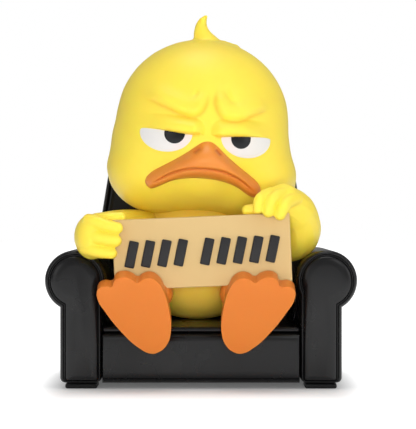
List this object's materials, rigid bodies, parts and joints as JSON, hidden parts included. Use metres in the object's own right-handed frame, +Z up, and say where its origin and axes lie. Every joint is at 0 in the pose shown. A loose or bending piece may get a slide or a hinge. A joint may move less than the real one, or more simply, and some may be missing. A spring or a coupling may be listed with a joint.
{
  "type": "toy duck desk figurine in an armchair",
  "caption": "A moulded toy duck with a big head and a frowning beak sits in a scroll-arm armchair and holds up a small placard; it stands on a desk as an ornament.",
  "frame": {"origin": "middle of the figure's footprint, on the surface that it stands on", "axes": "+Z up, +Y towards the chair's back, +X to the right as seen from the front; the duck faces -Y"},
  "size_m": [0.1004, 0.0861, 0.1213],
  "materials": {
    "yellow_vinyl": "satin moulded vinyl, bright yellow",
    "orange_vinyl": "satin moulded vinyl, orange",
    "eye_white": "smooth white paint, slightly glossy",
    "pupil_black": "glossy black paint",
    "placard": "matt tan board",
    "placard_mark": "raised matt charcoal bars",
    "chair_black": "satin black moulded to look like padded leather"
  },
  "bodies": {
    "root": {"head": "yellow_vinyl", "torso": "yellow_vinyl", "arm_left": "yellow_vinyl", "arm_right": "yellow_vinyl", "beak": "orange_vinyl", "leg_left": "orange_vinyl", "leg_right": "orange_vinyl", "eye_white_left": "eye_white", "eye_white_right": "eye_white", "pupil_left": "pupil_black", "pupil_right": "pupil_black", "sign_board": "placard", "sign_mark_1": "placard_mark", "sign_mark_2": "placard_mark", "sign_mark_3": "placard_mark", "sign_mark_4": "placard_mark", "sign_mark_5": "placard_mark", "sign_mark_6": "placard_mark", "sign_mark_7": "placard_mark", "sign_mark_8": "placard_mark", "sign_mark_9": "placard_mark", "seat_base": "chair_black", "seat_cushion": "chair_black", "backrest": "chair_black", "chair_arm_left": "chair_black", "chair_arm_right": "chair_black", "chair_foot_front_left": "chair_black", "chair_foot_front_right": "chair_black", "chair_foot_rear_left": "chair_black", "chair_foot_rear_right": "chair_black"}
  },
  "joints": []
}
